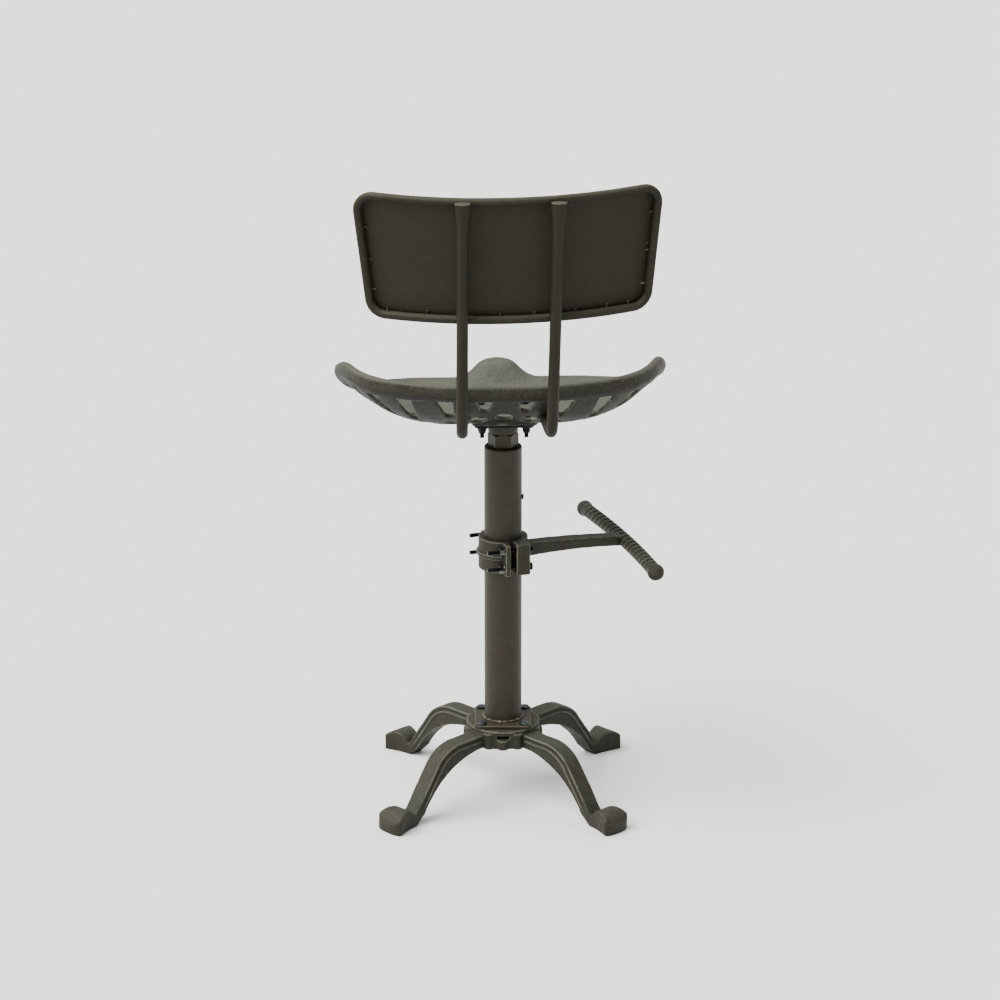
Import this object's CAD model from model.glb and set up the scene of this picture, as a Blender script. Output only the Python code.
import math

import bmesh
import bpy
import numpy as np
from mathutils import Matrix, Vector
from mathutils.bvhtree import BVHTree
from mathutils.kdtree import KDTree
from mathutils.noise import noise as lump_noise


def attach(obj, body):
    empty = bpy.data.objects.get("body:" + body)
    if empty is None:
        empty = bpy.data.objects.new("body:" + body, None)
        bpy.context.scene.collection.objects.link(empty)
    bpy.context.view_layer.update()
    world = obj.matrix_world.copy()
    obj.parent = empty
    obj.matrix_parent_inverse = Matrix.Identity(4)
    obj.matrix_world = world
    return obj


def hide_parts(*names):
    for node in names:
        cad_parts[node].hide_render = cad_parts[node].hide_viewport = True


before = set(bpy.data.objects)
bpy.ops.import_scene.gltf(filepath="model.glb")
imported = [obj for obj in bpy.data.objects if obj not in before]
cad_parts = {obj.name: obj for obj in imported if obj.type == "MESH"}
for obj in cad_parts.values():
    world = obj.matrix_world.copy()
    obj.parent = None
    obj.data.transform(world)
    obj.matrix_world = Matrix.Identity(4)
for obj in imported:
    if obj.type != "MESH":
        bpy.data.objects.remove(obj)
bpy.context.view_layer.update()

MM = 0.001

# How the stool stands at rest, in degrees
seat_yaw = 3.0
footrest_yaw = 18.5

# Sizes shared with the solids, in millimetres
leg_top = 96.0
leg_top_reaches = (54.0, 66.0, 79.0)
shoulder_start = 92.0
shoulder_radius = 55.0
shoulder_sweep = 54.25
ankle_reach = 178.8
ankle_height = 14.5
foot_start = 160.0
foot_end = 219.0
foot_half_width = 23.0
plate_top = 107.0
column_radius = 25.4
cap_top = 497.5
nut_top = 516.5
lift_nut_flats = 36.0
lift_nut_bore = 12.05
screw_radius = 12.0
screw_pitch = 5.0
screw_low = 301.0
screw_top = 517.0
seat_plate_middle = 536.0
bolt_half = 29.5
bolt_radius = 3.0
shank_radius = 2.9
bolt_pitch = 1.0
bolt_groove = 0.45
bolt_flats = 10.0
clamp_middle = 348.0
clamp_bolt_reach = 38.5
clamp_bolt_half_pitch = 12.25
bar_middle = (168.0, 0.0, 345.0)
bar_bow = 6.0
bar_half_length = 139.0
tread_pitch = 12.4


# Placing


def turn_about_column(degrees):
    """Turn about the column's axis."""
    return Matrix.Rotation(math.radians(degrees), 4, "Z")


def along(origin, direction, spin=0.0):
    """Place a piece made along +Z so that it points along a direction, from an origin in millimetres."""
    towards = Vector(direction).normalized()
    turn = Vector((0, 0, 1)).rotation_difference(towards).to_matrix().to_4x4()
    return Matrix.Translation(Vector(origin)) @ turn @ Matrix.Rotation(math.radians(spin), 4, "Z")


def piece(name, mesh, body, finish, smooth=True):
    """Put a finished mesh, already in the row frame and in millimetres, on its body."""
    mesh.transform(Matrix.Scale(MM, 4))
    mesh.update()
    thing = bpy.data.objects.new(name, mesh)
    bpy.context.scene.collection.objects.link(thing)
    mesh.polygons.foreach_set("use_smooth", [smooth] * len(mesh.polygons))
    mesh.materials.clear()
    mesh.materials.append(finish)
    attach(thing, body)
    return thing


def sheet_mesh(name, rows, close_rows=False, close_columns=False, cap_ends=False):
    """Mesh from a grid of points; rows and columns may close on themselves."""
    count, width = len(rows), len(rows[0])
    points = [tuple(point) for row in rows for point in row]
    faces = []
    for i in range(count if close_rows else count - 1):
        for j in range(width if close_columns else width - 1):
            a = i * width + j
            b = i * width + (j + 1) % width
            c = ((i + 1) % count) * width + (j + 1) % width
            d = ((i + 1) % count) * width + j
            faces.append((a, b, c, d))
    if cap_ends:
        faces.append(tuple(reversed(range(width))))
        faces.append(tuple(range((count - 1) * width, count * width)))
    mesh = bpy.data.meshes.new(name)
    mesh.from_pydata(points, [], faces)
    mesh.validate()
    return mesh


def joined(name, meshes):
    """Several meshes as one."""
    gathered = bmesh.new()
    for mesh in meshes:
        gathered.from_mesh(mesh)
    result = bpy.data.meshes.new(name)
    gathered.to_mesh(result)
    gathered.free()
    return result


# Castings and bent rods: the solid's own mesh with the softened edges of sand casting and paint


def rebuilt(node, voxel, extras=()):
    """Copy of a solid's mesh, in millimetres, joined with cast-on details and rebuilt in small cells."""
    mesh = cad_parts[node].data.copy()
    mesh.transform(Matrix.Scale(1000.0, 4))
    if extras:
        mesh = joined(node + "_cast", [mesh] + list(extras))
    helper = bpy.data.objects.new(node + "_helper", mesh)
    bpy.context.scene.collection.objects.link(helper)
    weld = helper.modifiers.new("weld", "WELD")
    weld.merge_threshold = 0.02
    remesh = helper.modifiers.new("cells", "REMESH")
    remesh.mode = "VOXEL"
    remesh.voxel_size = voxel
    depsgraph = bpy.context.evaluated_depsgraph_get()
    result = bpy.data.meshes.new_from_object(helper.evaluated_get(depsgraph))
    bpy.data.objects.remove(helper)
    result.name = node + "_cast"
    return result


def surface(mesh):
    """Places and normals of a mesh's vertices as arrays."""
    places = np.zeros(len(mesh.vertices) * 3)
    mesh.vertices.foreach_get("co", places)
    normals = np.zeros(len(mesh.vertices) * 3)
    mesh.vertex_normals.foreach_get("vector", normals)
    return places.reshape(-1, 3), normals.reshape(-1, 3)


def put_back(mesh, places):
    """Give a mesh's vertices new places."""
    mesh.vertices.foreach_set("co", places.ravel())
    mesh.update()


def neighbours(mesh):
    """Vertex pairs of a mesh's edges, and how many neighbours each vertex has."""
    pairs = np.zeros(len(mesh.edges) * 2, np.int64)
    mesh.edges.foreach_get("vertices", pairs)
    pairs = pairs.reshape(-1, 2)
    count = np.bincount(pairs.ravel(), minlength=len(mesh.vertices)).reshape(-1, 1)
    return pairs, np.maximum(count, 1)


def neighbour_mean(values, pairs, count):
    """Mean of each vertex's neighbours."""
    total = np.zeros((len(values),) + values.shape[1:])
    np.add.at(total, pairs[:, 0], values[pairs[:, 1]])
    np.add.at(total, pairs[:, 1], values[pairs[:, 0]])
    return total / count


def ease(mesh, rounds, where=None, hold=0.46):
    """Round edges off, all over or where a share says; a low hold lets the shape melt further."""
    places = surface(mesh)[0]
    pairs, count = neighbours(mesh)
    share = 1.0 if where is None else where(places).reshape(-1, 1)
    for step in range(rounds):
        # The second push grows the shape back, so that edges round but walls keep their thickness
        for amount in (0.55, -hold):
            places = places + (neighbour_mean(places, pairs, count) - places) * amount * share
    put_back(mesh, places)


def roughen(mesh, height, size):
    """Low waves of a sand mould or a thick coat, a size across."""
    places, normals = surface(mesh)
    pushes = np.array([lump_noise(Vector(place) / size) for place in places]) * height
    put_back(mesh, places + normals * pushes[:, None])


# Bend at which an edge counts as fully sharp; a rod's own roundness stays well below it
sharpest_bend = 0.15


def mark_edges(mesh):
    """Write where the surface is an outer edge or an inner corner, for wear and for pooled paint."""
    places, normals = surface(mesh)
    pairs, count = neighbours(mesh)
    bend = -((neighbour_mean(places, pairs, count) - places) * normals).sum(1, keepdims=True)
    for step in range(2):
        bend = 0.5 * bend + 0.5 * neighbour_mean(bend, pairs, count)
    length = np.linalg.norm(places[pairs[:, 0]] - places[pairs[:, 1]], axis=1).mean()
    bend = bend[:, 0] / (length * length)
    for name, values in (("outer_edge", bend), ("inner_corner", -bend)):
        layer = mesh.attributes.new(name, "FLOAT", "POINT")
        layer.data.foreach_set("value", np.clip(values / sharpest_bend, 0, 1).astype(np.float32))


def tube_mesh(name, points, radius, columns=10):
    """Plain round bar along a path, with its ends closed."""
    rows = []
    last = len(points) - 1
    for i, point in enumerate(points):
        here = Vector(point)
        ahead, behind = Vector(points[min(i + 1, last)]), Vector(points[max(i - 1, 0)])
        direction = (ahead - behind).normalized()
        side = direction.cross(Vector((0.31, 0.17, 0.93))).normalized()
        upward = side.cross(direction)
        row = []
        for j in range(columns):
            angle = 2 * math.pi * j / columns
            row.append(here + (side * math.cos(angle) + upward * math.sin(angle)) * radius)
        rows.append(row)
    return sheet_mesh(name, rows, close_columns=True, cap_ends=True)


# Finishes


def linear(code):
    """sRGB hex value as linear colour."""
    parts = [int(code[place : place + 2], 16) / 255 for place in (1, 3, 5)]
    return [part / 12.92 if part <= 0.04045 else ((part + 0.055) / 1.055) ** 2.4 for part in parts] + [1.0]


def add(tree, kind, inputs=None, **settings):
    """Add a node with its settings, values and links.

    Inputs go by name or number. A range's numbers are value, from low, from high, to low and to high;
    a mix's are share, first colour and second colour.
    """
    made = tree.nodes.new(kind)
    for name, value in settings.items():
        setattr(made, name, value)
    for name, value in (inputs or {}).items():
        socket = made.inputs[name]
        if isinstance(value, bpy.types.NodeSocket):
            tree.links.new(value, socket)
        else:
            socket.default_value = value
    return made


def per_size(millimetres):
    """Pattern scale for a feature of a real size."""
    return 1.0 / (millimetres * MM)


def lacquered_iron(
    name, body, pale, shade, worn, roughness, gloss, grain_size, grain_depth, lift=0.0, scuffing=0.05
):
    """Olive bronze lacquer sprayed over iron or steel.

    The coat is thin, so the grain of the metal shows as fine bumps. It is darker and browner on faces
    that look down, pools dark in corners, is scuffed paler in small patches, and rubs to a paler line
    on edges. Colours are body, pale where the spray is thick, shade below, and worn for scuffs.
    """
    finish = bpy.data.materials.new(name)
    finish.use_nodes = True
    tree = finish.node_tree
    tree.nodes.clear()
    place = add(tree, "ShaderNodeTexCoord").outputs["Object"]
    # Cloudy spray, 16 mm across, and broader brown tints, 60 mm across
    spray_inputs = {"Vector": place, "Scale": per_size(16.0), "Detail": 6.0, "Roughness": 0.65}
    spray = add(tree, "ShaderNodeTexNoise", spray_inputs).outputs["Fac"]
    tint_inputs = {"Vector": place, "Scale": per_size(60.0), "Detail": 4.0}
    tint = add(tree, "ShaderNodeTexNoise", tint_inputs).outputs["Fac"]
    # Grain of the sand mould or of the mill, and the pits that the coat leaves open
    grain_inputs = {"Vector": place, "Scale": per_size(grain_size), "Detail": 3.0, "Roughness": 0.7}
    grain = add(tree, "ShaderNodeTexNoise", grain_inputs).outputs["Fac"]
    pit_inputs = {"Vector": place, "Scale": per_size(grain_size * 4.5)}
    pits = add(tree, "ShaderNodeTexVoronoi", pit_inputs, feature="F1").outputs["Distance"]
    pitted = add(tree, "ShaderNodeMapRange", {0: pits, 1: 0.03, 2: 0.13, 3: 1.0, 4: 0.0}).outputs[0]

    cloud = add(tree, "ShaderNodeMapRange", {0: spray, 1: 0.3, 2: 0.72}).outputs[0]
    coat = {0: cloud, 6: linear(body), 7: linear(pale)}
    colour = add(tree, "ShaderNodeMix", coat, data_type="RGBA").outputs[2]
    browned = add(tree, "ShaderNodeMapRange", {0: tint, 1: 0.46, 2: 0.66, 3: 0.0, 4: 0.4}).outputs[0]
    undercoat = {0: browned, 6: colour, 7: linear("#2a2014")}
    colour = add(tree, "ShaderNodeMix", undercoat, data_type="RGBA").outputs[2]
    normal = add(tree, "ShaderNodeNewGeometry").outputs["Normal"]
    facing = add(tree, "ShaderNodeSeparateXYZ", {0: normal}).outputs["Z"]
    above = add(tree, "ShaderNodeMapRange", {0: facing, 1: 0.1, 2: 0.9, 3: 0.0, 4: lift}).outputs[0]
    colour = add(tree, "ShaderNodeMix", {0: above, 6: colour, 7: linear(worn)}, data_type="RGBA").outputs[2]
    # Pale scuffs, a few millimetres across, faint on flats and full on edges
    scuff_inputs = {"Vector": place, "Scale": per_size(5.0), "Detail": 8.0, "Roughness": 0.75}
    scuff = add(tree, "ShaderNodeTexNoise", scuff_inputs).outputs["Fac"]
    scuffed = add(tree, "ShaderNodeMapRange", {0: scuff, 1: 0.5, 2: 0.7, 3: 0.0, 4: scuffing}).outputs[0]
    colour = add(tree, "ShaderNodeMix", {0: scuffed, 6: colour, 7: linear(worn)}, data_type="RGBA").outputs[2]
    below = add(tree, "ShaderNodeMapRange", {0: facing, 1: -0.4, 2: 0.2, 3: 0.9, 4: 0.0}).outputs[0]
    colour = add(tree, "ShaderNodeMix", {0: below, 6: colour, 7: linear(shade)}, data_type="RGBA").outputs[2]

    hollow = add(tree, "ShaderNodeMapRange", {0: grain, 1: 0.36, 2: 0.56, 3: 0.65, 4: 0.0}).outputs[0]
    fleck = add(tree, "ShaderNodeMath", {0: hollow, 1: pitted}, operation="MAXIMUM").outputs[0]
    darkened = add(tree, "ShaderNodeMapRange", {0: fleck, 1: 0.0, 2: 1.0, 3: 0.0, 4: 0.68}).outputs[0]
    flecks = {0: darkened, 6: colour, 7: linear("#15130e")}
    colour = add(tree, "ShaderNodeMix", flecks, data_type="RGBA").outputs[2]
    corner = add(tree, "ShaderNodeAttribute", attribute_name="inner_corner").outputs["Fac"]
    pooled = add(tree, "ShaderNodeMapRange", {0: corner, 1: 0.1, 2: 0.9, 3: 0.0, 4: 0.75}).outputs[0]
    pool = {0: pooled, 6: colour, 7: linear("#110f0b")}
    colour = add(tree, "ShaderNodeMix", pool, data_type="RGBA").outputs[2]
    edge = add(tree, "ShaderNodeAttribute", attribute_name="outer_edge").outputs["Fac"]
    rubbed = add(tree, "ShaderNodeMapRange", {0: edge, 1: 0.35, 2: 0.85, 3: 0.0, 4: 0.8}).outputs[0]
    broken = add(tree, "ShaderNodeMapRange", {0: scuff, 1: 0.36, 2: 0.6, 3: 0.45, 4: 0.85}).outputs[0]
    rubbed = add(tree, "ShaderNodeMath", {0: rubbed, 1: broken}, operation="MULTIPLY").outputs[0]
    colour = add(tree, "ShaderNodeMix", {0: rubbed, 6: colour, 7: linear(worn)}, data_type="RGBA").outputs[2]

    rough_inputs = {0: grain, 1: 0.3, 2: 0.7, 3: roughness - 0.06, 4: roughness + 0.08}
    rough = add(tree, "ShaderNodeMapRange", rough_inputs)
    height = add(tree, "ShaderNodeMath", {0: pitted, 1: -0.6, 2: grain}, operation="MULTIPLY_ADD").outputs[0]
    bump = add(tree, "ShaderNodeBump", {"Height": height, "Strength": 0.85, "Distance": grain_depth * MM})
    inputs = {"Base Color": colour, "Roughness": rough.outputs[0], "Normal": bump.outputs[0]}
    inputs["Specular IOR Level"] = gloss
    shader = add(tree, "ShaderNodeBsdfPrincipled", inputs)
    add(tree, "ShaderNodeOutputMaterial", {"Surface": shader.outputs[0]})
    return finish


def oiled_steel(name, dark, bright, roughness):
    """Machined or blackened steel hardware with a film of oil and dust, duller in patches."""
    finish = bpy.data.materials.new(name)
    finish.use_nodes = True
    tree = finish.node_tree
    tree.nodes.clear()
    place = add(tree, "ShaderNodeTexCoord").outputs["Object"]
    # Patches of oil, 5 mm across, and fine tool marks, 0.6 mm across
    film_inputs = {"Vector": place, "Scale": per_size(5.0), "Detail": 4.0}
    film = add(tree, "ShaderNodeTexNoise", film_inputs).outputs["Fac"]
    mark_inputs = {"Vector": place, "Scale": per_size(0.6), "Detail": 2.0}
    marks = add(tree, "ShaderNodeTexNoise", mark_inputs).outputs["Fac"]
    patch = add(tree, "ShaderNodeMapRange", {0: film, 1: 0.35, 2: 0.65}).outputs[0]
    steel = {0: patch, 6: linear(dark), 7: linear(bright)}
    colour = add(tree, "ShaderNodeMix", steel, data_type="RGBA").outputs[2]
    rough_inputs = {0: film, 1: 0.3, 2: 0.7, 3: roughness - 0.08, 4: roughness + 0.12}
    rough = add(tree, "ShaderNodeMapRange", rough_inputs)
    bump = add(tree, "ShaderNodeBump", {"Height": marks, "Strength": 0.25, "Distance": 0.08 * MM})
    inputs = {"Base Color": colour, "Roughness": rough.outputs[0], "Normal": bump.outputs[0], "Metallic": 1.0}
    shader = add(tree, "ShaderNodeBsdfPrincipled", inputs)
    add(tree, "ShaderNodeOutputMaterial", {"Surface": shader.outputs[0]})
    return finish


def moulded_nylon():
    """Black nylon sleeve with a faint moulded grain."""
    finish = bpy.data.materials.new("black_nylon_sleeve")
    finish.use_nodes = True
    tree = finish.node_tree
    tree.nodes.clear()
    place = add(tree, "ShaderNodeTexCoord").outputs["Object"]
    # Moulded grain, 1.5 mm across
    grain_inputs = {"Vector": place, "Scale": per_size(1.5), "Detail": 2.0}
    grain = add(tree, "ShaderNodeTexNoise", grain_inputs).outputs["Fac"]
    bump_inputs = {"Height": grain, "Strength": 0.2, "Distance": 0.1 * MM}
    bump = add(tree, "ShaderNodeBump", bump_inputs).outputs["Normal"]
    mix = add(tree, "ShaderNodeMix", {0: grain, 6: linear("#0c0c0c"), 7: linear("#181818")}, data_type="RGBA")
    inputs = {"Base Color": mix.outputs[2], "Roughness": 0.5, "Normal": bump, "IOR": 1.53}
    shader = add(tree, "ShaderNodeBsdfPrincipled", inputs)
    add(tree, "ShaderNodeOutputMaterial", {"Surface": shader.outputs[0]})
    return finish


# Sand cast iron under lacquer: a coarse grain, 3 mm across, that breaks the light up
cast_lacquer = lacquered_iron(
    "lacquered_cast_iron",
    body="#24241a",
    pale="#313123",
    shade="#13110a",
    worn="#6a6a5a",
    roughness=0.56,
    gloss=0.22,
    grain_size=3.0,
    grain_depth=1.1,
    lift=0.1,
    scuffing=0.16,
)
# The seat's own casting, rubbed paler by use and lighter on faces that look up
seat_lacquer = lacquered_iron(
    "lacquered_seat_iron",
    body="#26251d",
    pale="#37362b",
    shade="#0e0b06",
    worn="#6f7063",
    roughness=0.55,
    gloss=0.16,
    grain_size=2.4,
    grain_depth=0.6,
    lift=0.42,
    scuffing=0.28,
)
# Drawn steel tube under lacquer: smoother, with fine pits
tube_lacquer = lacquered_iron(
    "lacquered_steel_tube",
    body="#252013",
    pale="#302b1b",
    shade="#1c180d",
    worn="#4c4939",
    roughness=0.5,
    gloss=0.26,
    grain_size=2.4,
    grain_depth=0.3,
    lift=0.25,
)
# Bent rod under lacquer
rod_lacquer = lacquered_iron(
    "lacquered_steel_rod",
    body="#201e13",
    pale="#2b291b",
    shade="#15120a",
    worn="#5b5b4d",
    roughness=0.55,
    gloss=0.16,
    grain_size=2.2,
    grain_depth=0.4,
    lift=0.4,
)
# Flat sheet under a matter, darker coat; its pits are drawn 2 mm across so that they show
sheet_lacquer = lacquered_iron(
    "lacquered_steel_sheet",
    body="#1d190c",
    pale="#282414",
    shade="#181407",
    worn="#3e3b2b",
    roughness=0.66,
    gloss=0.24,
    grain_size=3.0,
    grain_depth=0.5,
)
# Weld metal under lacquer: as dark as what it joins, with pale spatter where the coat is thin
weld_lacquer = lacquered_iron(
    "lacquered_weld_metal",
    body="#2a261a",
    pale="#45412f",
    shade="#1b1810",
    worn="#b0ad9e",
    roughness=0.5,
    gloss=0.3,
    grain_size=1.5,
    grain_depth=0.2,
    scuffing=0.9,
)
# Black oxide bolts: near black, satin
black_bolt = oiled_steel("black_oxide_steel", "#0b0c0d", "#232527", 0.36)
# Black oxide rubbed through to the steel on nuts and washers
rubbed_bolt = oiled_steel("rubbed_black_oxide_steel", "#1d1e1f", "#7d7d78", 0.3)
# Blued steel: the base's bolts, dark blue grey with a soft sheen
blued_bolt = oiled_steel("blued_bolt_steel", "#101316", "#4b5154", 0.3)
# Bare screw steel with grease
greased_steel = oiled_steel("greased_screw_steel", "#2a2823", "#55524b", 0.34)
nylon = moulded_nylon()

finishes = {
    "base_plate": tube_lacquer,
    "column_tube": tube_lacquer,
    "column_cap": tube_lacquer,
    "column_weld": weld_lacquer,
    "column_stud": black_bolt,
    "base_bolts": blued_bolt,
    "thrust_washer": greased_steel,
    "screw_stop": greased_steel,
    "lift_screw": greased_steel,
    "seat_boss": tube_lacquer,
    "lift_nut": tube_lacquer,
    "seat_plate": black_bolt,
    "seat_bolts": black_bolt,
    "seat_washers": black_bolt,
    "seat_nuts": black_bolt,
    "back_panel": sheet_lacquer,
    "back_frame": rod_lacquer,
    "back_tacks": weld_lacquer,
    "back_post_left": rod_lacquer,
    "back_post_right": rod_lacquer,
    "clamp_liner": nylon,
    "clamp_bolts": black_bolt,
    "clamp_washers": rubbed_bolt,
    "clamp_nuts": rubbed_bolt,
    "clamp_cap": cast_lacquer,
    "footrest_arm": cast_lacquer,
    "footrest_bar": cast_lacquer,
    "base_spider": cast_lacquer,
    "seat_pan": seat_lacquer,
}
for node, finish in finishes.items():
    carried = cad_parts[node]
    carried.data.materials.clear()
    carried.data.materials.append(finish)


# Legs: a bead cast along both flanks of each leg, below its groove, and rounded feet

leg_bead_flank = 12.1
leg_bead_drop = 8.6
leg_bead_radius = 1.6
slope_outward = 0.81
slope_upward = 0.58
foot_corner = 9.0
foot_blend = 14.0
sole_reach = 0.5


def leg_bead(drop, flank):
    """Line along a leg's flank, a drop below its top line, from the hub over the shoulder to the ankle."""
    points = [(reach, flank, leg_top - drop) for reach in leg_top_reaches]
    radius = shoulder_radius - drop
    shoulder_middle = leg_top - shoulder_radius
    for step in range(13):
        angle = math.radians(90.0 - shoulder_sweep * step / 12)
        reach = shoulder_start + radius * math.cos(angle)
        points.append((reach, flank, shoulder_middle + radius * math.sin(angle)))
    start = Vector(points[-1])
    end = Vector((ankle_reach - drop * slope_outward, flank, ankle_height - drop * slope_upward))
    for step in range(1, 7):
        points.append(tuple(start.lerp(end, step / 6)))
    return points


def round_feet(mesh):
    """Draw the two outer corners of each foot in to a radius."""
    places = surface(mesh)[0]
    for quarter in range(4):
        angle = math.radians(45 + 90 * quarter)
        outward = places[:, 0] * math.cos(angle) + places[:, 1] * math.sin(angle)
        across = places[:, 1] * math.cos(angle) - places[:, 0] * math.sin(angle)
        past_end = outward - (foot_end - foot_corner)
        past_side = np.abs(across) - (foot_half_width - foot_corner)
        reach = np.hypot(past_end, past_side)
        corner = (past_end > 0) & (past_side > 0) & (reach > foot_corner)
        share = np.where(corner, 1 - foot_corner / np.maximum(reach, 1e-6), 0.0)
        outward_move = -past_end * share
        across_move = -past_side * share * np.sign(across)
        places[:, 0] += outward_move * math.cos(angle) - across_move * math.sin(angle)
        places[:, 1] += outward_move * math.sin(angle) + across_move * math.cos(angle)
    put_back(mesh, places)


def near_feet(places):
    """Share of rounding: all of it on the feet, none on the hub."""
    return np.clip((np.hypot(places[:, 0], places[:, 1]) - foot_start) / foot_blend, 0.0, 1.0)


def level_soles(mesh):
    """Lay the soles flat on the floor again after the casting's waves."""
    places = surface(mesh)[0]
    places[:, 2] = np.where(places[:, 2] < sole_reach, 0.0, places[:, 2])
    put_back(mesh, places)


beads = []
for quarter in range(4):
    for flank in (-leg_bead_flank, leg_bead_flank):
        bead = tube_mesh("bead", leg_bead(leg_bead_drop, flank), leg_bead_radius)
        bead.transform(turn_about_column(45 + 90 * quarter))
        beads.append(bead)
spider = rebuilt("base_spider", 1.15, beads)
ease(spider, 3)
round_feet(spider)
ease(spider, 30, near_feet, 0.3)
roughen(spider, 0.35, 14.0)
level_soles(spider)
mark_edges(spider)
spider = piece("base_spider_cast", spider, "base", cast_lacquer)
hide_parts("base_spider")


# Seat pan: the rim is a flat band with rounded edges, fuller at the seat's two sides

band_half_depth_behind = 5.6
band_half_depth_beside = 8.6
band_half_height_behind = 7.8
band_half_height_beside = 11.5
squareness_behind = 3.4
squareness_beside = 2.0
band_inset = 0.6
band_lift_beside = 2.0
band_columns = 28
rim_steps = 240
rim_reach = 18.0
rim_ease_reach = 15.0
rim_ease_blend = 5.0


def rim_line():
    """Middle, half height, half depth and squareness of the rim's band, felt for from above the pan."""
    gathered = bmesh.new()
    gathered.from_mesh(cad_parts["seat_pan"].data)
    skin = BVHTree.FromBMesh(gathered)
    gathered.free()
    well_outside, well_inside, well_above = 250.0, 120.0, 750.0
    reaches, heights = np.zeros(rim_steps), np.zeros(rim_steps)
    for step in range(rim_steps):
        angle = 2 * math.pi * step / rim_steps
        reach = well_outside
        hit = None
        while hit is None and reach > well_inside:
            reach -= 0.5
            above = Vector((reach * math.cos(angle) * MM, reach * math.sin(angle) * MM, well_above * MM))
            hit = skin.ray_cast(above, Vector((0, 0, -1)))[0]
        reaches[step], heights[step] = reach, hit.z / MM
    heights = np.median([np.roll(heights, shift) for shift in (-2, -1, 0, 1, 2)], axis=0)
    for step in range(6):
        reaches = (np.roll(reaches, 1) + 2 * reaches + np.roll(reaches, -1)) / 4
        heights = (np.roll(heights, 1) + 2 * heights + np.roll(heights, -1)) / 4
    points = []
    for step in range(rim_steps):
        angle = 2 * math.pi * step / rim_steps
        beside = math.cos(angle) ** 8
        half = band_half_height_behind + (band_half_height_beside - band_half_height_behind) * beside
        depth = band_half_depth_behind + (band_half_depth_beside - band_half_depth_behind) * beside
        inward = reaches[step] - depth - band_inset
        height = heights[step] - half + band_lift_beside * beside
        squareness = squareness_behind + (squareness_beside - squareness_behind) * beside
        points.append((inward * math.cos(angle), inward * math.sin(angle), height, half, depth, squareness))
    return points


def band_fullness(across, up, squareness):
    """How far a place lies from the middle of the band's section, where 1 is its skin."""
    return (abs(across) ** squareness + abs(up) ** squareness) ** (1 / squareness)


def band_mesh(line):
    """Closed band round the seat, upright, with a squared oval section."""
    rows = []
    for x, y, z, half, depth, squareness in line:
        outward = Vector((x, y, 0)).normalized()
        row = []
        for step in range(band_columns):
            angle = 2 * math.pi * step / band_columns
            across, up = math.cos(angle), math.sin(angle)
            fullness = band_fullness(across, up, squareness)
            row.append(Vector((x, y, z + half * up / fullness)) + outward * (depth * across / fullness))
        rows.append(row)
    return sheet_mesh("rim", rows, close_rows=True, close_columns=True)


rim = rim_line()
pan = rebuilt("seat_pan", 1.5, [band_mesh(rim)])
rim_middles = KDTree(len(rim))
for number, point in enumerate(rim):
    rim_middles.insert(Vector(point[:3]), number)
rim_middles.balance()


def roll_rim(mesh):
    """Draw the outer upper edge of the rim in to the band's section."""
    places = surface(mesh)[0]
    for i in range(len(places)):
        here = Vector(places[i])
        middle, number, gap = rim_middles.find(here)
        if gap > rim_reach or here.z < middle.z:
            continue
        outward = Vector((middle.x, middle.y, 0)).normalized()
        offset = here - middle
        across = offset.dot(outward)
        half, depth, squareness = rim[number][3:]
        fullness = band_fullness(across / depth, offset.z / half, squareness)
        if across > 0 and fullness > 1.0:
            drawn = 1 - 1 / fullness
            places[i] = here - outward * (across * drawn) - Vector((0, 0, offset.z * drawn))
    put_back(mesh, places)


def near_rim(places):
    """Share of rounding: all of it on the rim, none on the bowl."""
    gaps = np.array([rim_middles.find(Vector(place))[2] for place in places])
    return np.clip((rim_ease_reach - gaps) / rim_ease_blend, 0.0, 1.0)


roll_rim(pan)
ease(pan, 9, near_rim)
ease(pan, 3)
roughen(pan, 0.4, 16.0)
mark_edges(pan)
pan = piece("seat_pan_cast", pan, "seat", seat_lacquer)
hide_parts("seat_pan")


# Footrest bar: crescent treads across its top

tread_depth = 1.5
tread_crescent = 4.0
tread_run = 124.0
tread_fade = 6.0


def tread_bar(mesh):
    """Press the grooves between the treads deeper and round the bar's sides, each bent to a crescent."""
    mesh.transform(turn_about_column(-footrest_yaw))
    places, normals = surface(mesh)
    lengthwise = places[:, 1]
    bow = bar_bow * (1 - (lengthwise / bar_half_length) ** 2)
    out = places[:, 0] - bar_middle[0] - bow
    up = places[:, 2] - bar_middle[2]
    lean = np.arctan2(out, up)
    phase = (lengthwise - tread_crescent * (1 - np.cos(lean))) / tread_pitch
    groove = np.clip(np.cos(2 * math.pi * phase), 0, 1) ** 0.7
    wrap = np.clip((math.radians(125) - np.abs(lean)) / math.radians(45), 0, 1)
    near = np.clip((tread_run - np.abs(lengthwise)) / tread_fade, 0, 1)
    push = -tread_depth * groove * wrap * near
    put_back(mesh, places + normals * push[:, None])
    mesh.transform(turn_about_column(footrest_yaw))


bar = rebuilt("footrest_bar", 0.8)
ease(bar, 3)
tread_bar(bar)
ease(bar, 1)
mark_edges(bar)
bar = piece("footrest_bar_cast", bar, "footrest", cast_lacquer)
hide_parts("footrest_bar")


# The other castings and bent rods, each as body, finish, slot, cell, rounds of easing and wave height

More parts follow.
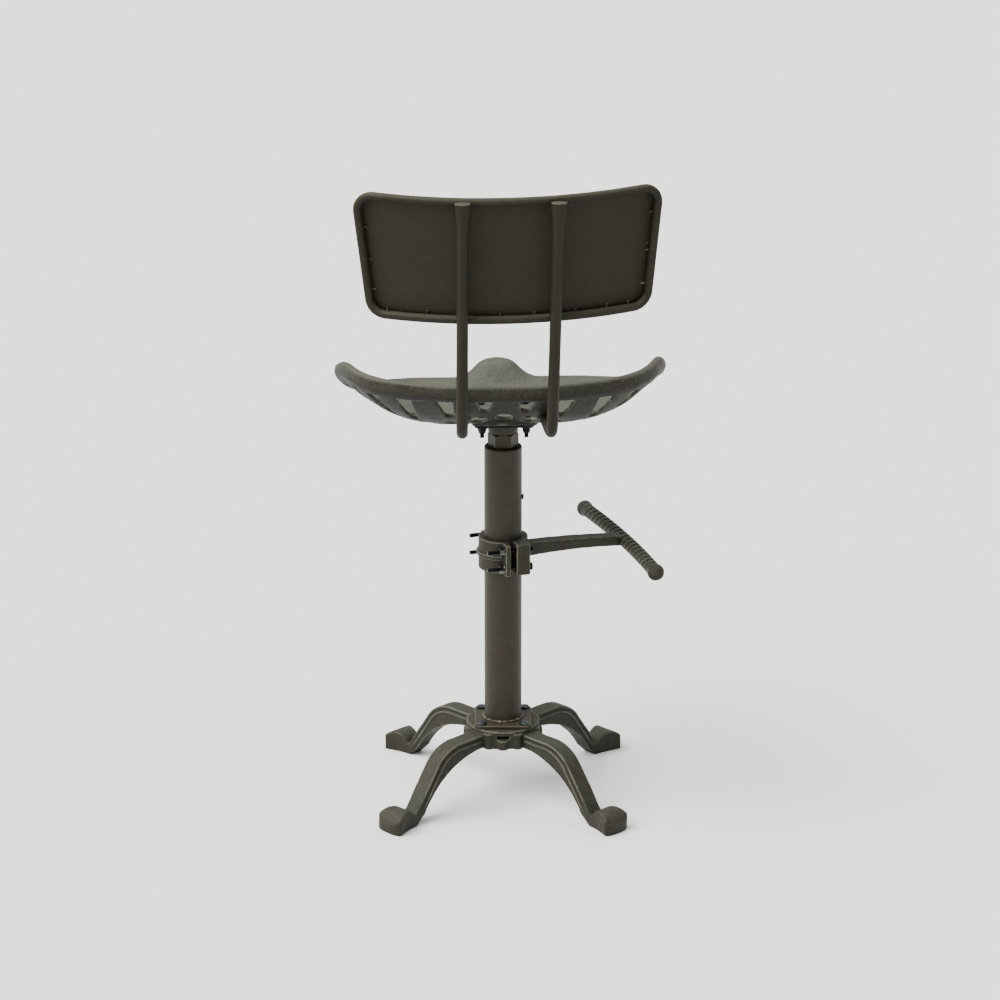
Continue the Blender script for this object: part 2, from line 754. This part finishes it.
softened_nodes = {
    "clamp_cap": ("footrest", cast_lacquer, "cast_paint", 0.8, 4, 0.25),
    "footrest_arm": ("footrest", cast_lacquer, "cast_paint", 0.9, 6, 0.35),
    "back_post_left": ("seat", rod_lacquer, "rod_paint", 1.0, 3, 0.15),
    "back_post_right": ("seat", rod_lacquer, "rod_paint", 1.0, 3, 0.15),
    "back_frame": ("seat", rod_lacquer, "rod_paint", 1.0, 2, 0.12),
    "base_plate": ("base", tube_lacquer, "column_paint", 0.8, 2, 0.1),
}
for node, (body, finish, slot, cell, rounds, waves) in softened_nodes.items():
    casting = rebuilt(node, cell)
    ease(casting, rounds)
    roughen(casting, waves, 16.0)
    mark_edges(casting)
    casting = piece(node + "_cast", casting, body, finish)
    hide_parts(node)


# Threads, nuts and heads


def thread_mesh(name, radius, pitch, length, depth, columns, steps):
    """Screw thread along +Z, with so many steps a pitch: the crest climbs one pitch each turn."""
    rows = []
    count = max(2, int(length / pitch * steps))
    for i in range(count + 1):
        z = length * i / count
        taper = min(1.0, (length - z) / (0.6 * pitch))
        row = []
        for j in range(columns):
            phase = (z / pitch - j / columns) % 1.0
            groove = 0.5 - 0.5 * math.cos(2 * math.pi * phase)
            reach = radius - depth * groove - (1 - max(0.25, taper)) * depth
            angle = 2 * math.pi * j / columns
            row.append((reach * math.cos(angle), reach * math.sin(angle), z))
        rows.append(row)
    return sheet_mesh(name, rows, close_columns=True, cap_ends=True)


def hexagon_mesh(name, flats, height, bore=0.0, both=True):
    """Hexagon with the round chamfer that turning leaves on its upper face or on both."""
    columns = 72
    inner = flats / 2
    round_edge = inner * 0.95
    rows = []
    rings = [("low_bore", bore), ("low_flat", round_edge), ("low_edge", None)]
    rings += [("high_edge", None), ("high_flat", round_edge), ("high_bore", bore)]
    for kind, reach in rings:
        row = []
        for j in range(columns):
            angle = 2 * math.pi * j / columns
            hexagon = inner / math.cos((angle % (math.pi / 3)) - math.pi / 6)
            drop = (hexagon - round_edge) * math.tan(math.radians(28))
            if kind == "low_edge":
                z = drop if both else 0.0
            elif kind == "high_edge":
                z = height - drop
            else:
                z = 0.0 if kind.startswith("low") else height
            size = hexagon if reach is None else max(reach, 0.05)
            row.append((size * math.cos(angle), size * math.sin(angle), z))
        rows.append(row)
    if bore:
        return sheet_mesh(name, rows, close_rows=True, close_columns=True)
    return sheet_mesh(name, rows, close_columns=True, cap_ends=True)


def lathe_mesh(name, outline, columns=40, closed=True):
    """Turned shape from (radius, height) points."""
    rows = []
    for reach, z in outline:
        row = []
        for j in range(columns):
            angle = 2 * math.pi * j / columns
            row.append((reach * math.cos(angle), reach * math.sin(angle), z))
        rows.append(row)
    return sheet_mesh(name, rows, close_rows=closed, close_columns=True, cap_ends=not closed)


def placed(mesh, matrix):
    """Mesh moved into place."""
    mesh.transform(matrix)
    return mesh


def clamp_places():
    """Across and height of the four clamp bolts, in the footrest's own directions."""
    across = (-clamp_bolt_reach, clamp_bolt_reach)
    up = (-clamp_bolt_half_pitch, clamp_bolt_half_pitch)
    return [(y, clamp_middle + z) for y in across for z in up]


def corners(half):
    """Four corners of a square bolt pattern."""
    return [(x, y) for x in (-half, half) for y in (-half, half)]


swing = turn_about_column(footrest_yaw)
seat_turn = turn_about_column(seat_yaw)

# Clamp bolts, by how far in front of the column's axis each part of them starts
clamp_thread_start = -11.0
clamp_thread_length = 24.0
clamp_head_start = 23.5
clamp_nut_start = -17.8
clamp_washer_start = -12.6

shanks, heads, nuts, washers = [], [], [], []
for number, (y, z) in enumerate(clamp_places()):
    spin = (17, 41, 8, 29)[number]
    thread = thread_mesh("thread", bolt_radius, bolt_pitch, clamp_thread_length, bolt_groove, 20, 6)
    shanks.append(placed(thread, along((clamp_thread_start, y, z), (-1, 0, 0))))
    shank = [(shank_radius, clamp_thread_start - 0.5), (shank_radius, clamp_head_start)]
    shanks.append(placed(lathe_mesh("shank", shank, 20, False), along((0, y, z), (1, 0, 0))))
    head = hexagon_mesh("head", bolt_flats, 4.5)
    heads.append(placed(head, along((clamp_head_start, y, z), (1, 0, 0), spin)))
    nut = hexagon_mesh("nut", bolt_flats, 5.2, bolt_radius)
    nuts.append(placed(nut, along((clamp_nut_start, y, z), (1, 0, 0), spin + 13)))
    outline = [(3.05, 0.0), (6.0, 0.0), (6.2, 0.3), (6.2, 1.3), (6.0, 1.6), (3.05, 1.6)]
    washer = lathe_mesh("washer", outline)
    washers.append(placed(washer, along((clamp_washer_start, y, z), (1, 0, 0))))
for name, made, node, finish in (
    ("clamp_bolt_set", joined("clamp_bolt_set", shanks + heads), "clamp_bolts", black_bolt),
    ("clamp_nut_set", joined("clamp_nut_set", nuts), "clamp_nuts", rubbed_bolt),
    ("clamp_washer_set", joined("clamp_washer_set", washers), "clamp_washers", rubbed_bolt),
):
    hardware = piece(name, placed(made, swing), "footrest", finish, smooth=False)
    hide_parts(node)

# Seat bolts, by the heights above the floor that their parts start from
seat_thread_length = 18.0
seat_nut_low = 527.0
seat_collar_low = 524.4
seat_washer_low = 532.4

shanks, nuts, washers = [], [], []
for number, (x, y) in enumerate(corners(bolt_half)):
    spin = (5, 33, 22, 47)[number]
    thread = thread_mesh("thread", bolt_radius, bolt_pitch, seat_thread_length, bolt_groove, 20, 6)
    shanks.append(placed(thread, along((x, y, seat_plate_middle), (0, 0, -1))))
    dome = [(shank_radius, 0.0)]
    for step in range(9):
        angle = math.radians(90) * step / 8
        dome.append((0.3 + 6.7 * math.cos(angle), 11.2 + 3.4 * math.sin(angle)))
    dome = lathe_mesh("dome", dome, 32, False)
    shanks.append(placed(dome, along((x, y, seat_plate_middle), (0, 0, 1))))
    nut = hexagon_mesh("nut", bolt_flats, 5.4, bolt_radius)
    nuts.append(placed(nut, along((x, y, seat_nut_low), (0, 0, 1), spin)))
    collar = [(3.0, 0.0), (4.2, 0.0), (4.7, 0.6), (4.7, 2.6), (3.0, 2.6)]
    nuts.append(placed(lathe_mesh("collar", collar), along((x, y, seat_collar_low), (0, 0, 1))))
    disc = [(3.05, 0.0), (9.2, 0.0), (9.5, 0.3), (9.5, 1.3), (9.2, 1.6), (3.05, 1.6)]
    washers.append(placed(lathe_mesh("washer", disc), along((x, y, seat_washer_low), (0, 0, 1))))
for name, made, node in (
    ("seat_bolt_set", joined("seat_bolt_set", shanks), "seat_bolts"),
    ("seat_nut_set", joined("seat_nut_set", nuts), "seat_nuts"),
    ("seat_washer_set", joined("seat_washer_set", washers), "seat_washers"),
):
    hardware = piece(name, placed(made, seat_turn), "seat", black_bolt, smooth=False)
    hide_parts(node)

# Base bolts: low button heads with a collar, on the plate
heads = []
for number, (x, y) in enumerate(corners(bolt_half)):
    outline = [(2.9, -0.5), (7.2, -0.5), (7.4, 0.0), (7.4, 0.6)]
    outline += [(6.7, 0.8), (6.6, 1.9), (6.2, 2.5), (3.0, 2.6)]
    head = lathe_mesh("head", outline, 36, False)
    heads.append(placed(head, along((x, y, plate_top + 0.1), (0, 0, 1))))
    socket = hexagon_mesh("socket", 5.0, 0.4, 0.0, False)
    spin = (12, 40, 27, 5)[number]
    heads.append(placed(socket, along((x, y, plate_top + 2.5), (0, 0, 1), spin)))
heads = piece("base_bolt_set", joined("base_bolt_set", heads), "base", blued_bolt, smooth=False)
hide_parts("base_bolts")

# Lift screw and its nut
screw_groove = 1.5
spindle = thread_mesh("spindle", screw_radius, screw_pitch, screw_top - screw_low, screw_groove, 48, 10)
spindle = placed(spindle, Matrix.Translation((0, 0, screw_low)))
spindle = piece("lift_screw_thread", spindle, "seat", greased_steel)
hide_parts("lift_screw")

nut = hexagon_mesh("lift_nut", lift_nut_flats, nut_top - cap_top, lift_nut_bore)
nut = placed(nut, along((0, 0, cap_top), (0, 0, 1), 0))
nut = piece("lift_nut_turned", nut, "base", tube_lacquer, smooth=False)
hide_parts("lift_nut")


# Weld at the foot of the column


def bead_mesh(name, points, radius, ripple):
    """Weld bead round a closed path: a ring with the overlapping ripples of the weld pool."""
    rows = []
    travelled = 0.0
    for i, point in enumerate(points):
        here, ahead, behind = Vector(point), Vector(points[(i + 1) % len(points)]), Vector(points[i - 1])
        direction = (ahead - behind).normalized()
        side = direction.cross(Vector((0.3, 0.5, 0.8))).normalized()
        upward = side.cross(direction)
        size = radius * (0.86 + 0.22 * abs(math.sin(math.pi * travelled / ripple)))
        # Lumps along the bead, 5 mm long
        size *= 1 + 0.45 * lump_noise(here / 5.0)
        row = []
        for j in range(12):
            angle = 2 * math.pi * j / 12
            row.append(here + side * (size * math.cos(angle)) + upward * (size * math.sin(angle)))
        rows.append(row)
        travelled += (ahead - here).length
    return sheet_mesh(name, rows, close_rows=True, close_columns=True)


def ring_points(radius, z, count):
    """Points round the column's axis."""
    turn = 2 * math.pi / count
    return [(radius * math.cos(turn * i), radius * math.sin(turn * i), z) for i in range(count)]


foot_bead = bead_mesh("foot_bead", ring_points(column_radius + 0.8, plate_top + 0.9, 160), 2.1, 4.2)
foot_bead = piece("column_foot_bead", foot_bead, "base", weld_lacquer)
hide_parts("column_weld")


# Studio

floor_mesh = sheet_mesh("floor", [[(-20, -20, 0), (20, -20, 0)], [(-20, 20, 0), (20, 20, 0)]])
floor = bpy.data.objects.new("studio_floor", floor_mesh)
bpy.context.scene.collection.objects.link(floor)
paper = bpy.data.materials.new("pale_paper")
paper.use_nodes = True
paper_shader = paper.node_tree.nodes["Principled BSDF"]
paper_shader.inputs["Base Color"].default_value = linear("#f4f4f2")
paper_shader.inputs["Roughness"].default_value = 0.9
paper_shader.inputs["Specular IOR Level"].default_value = 0.1
floor_mesh.materials.append(paper)


def daylight(name, direction, strength, softness):
    """Broad even light from far away, as through a large diffuser."""
    data = bpy.data.lights.new(name, "SUN")
    data.energy = strength
    data.angle = math.radians(softness)
    lamp = bpy.data.objects.new(name, data)
    bpy.context.scene.collection.objects.link(lamp)
    lamp.rotation_euler = Vector(direction).to_track_quat("Z", "Y").to_euler()
    return lamp


daylight("key_light", (-0.66, -0.3, 0.85), 6.0, 55)
daylight("top_light", (0.1, 0.35, 0.9), 1.8, 90)

world = bpy.data.worlds.new("white_room")
bpy.context.scene.world = world
world.use_nodes = True
world.node_tree.nodes["Background"].inputs["Color"].default_value = (1.0, 1.0, 1.0, 1.0)
world.node_tree.nodes["Background"].inputs["Strength"].default_value = 0.46

camera_data = bpy.data.cameras.new("photo_camera")
camera_data.sensor_width = 36.0
camera_data.lens = 124.62
camera = bpy.data.objects.new("photo_camera", camera_data)
bpy.context.scene.collection.objects.link(camera)
camera.location = (-0.00414, -4.4175, 1.9144)
camera.rotation_euler = (math.radians(90 - 18.6906), 0.0, 0.0)
bpy.context.scene.camera = camera
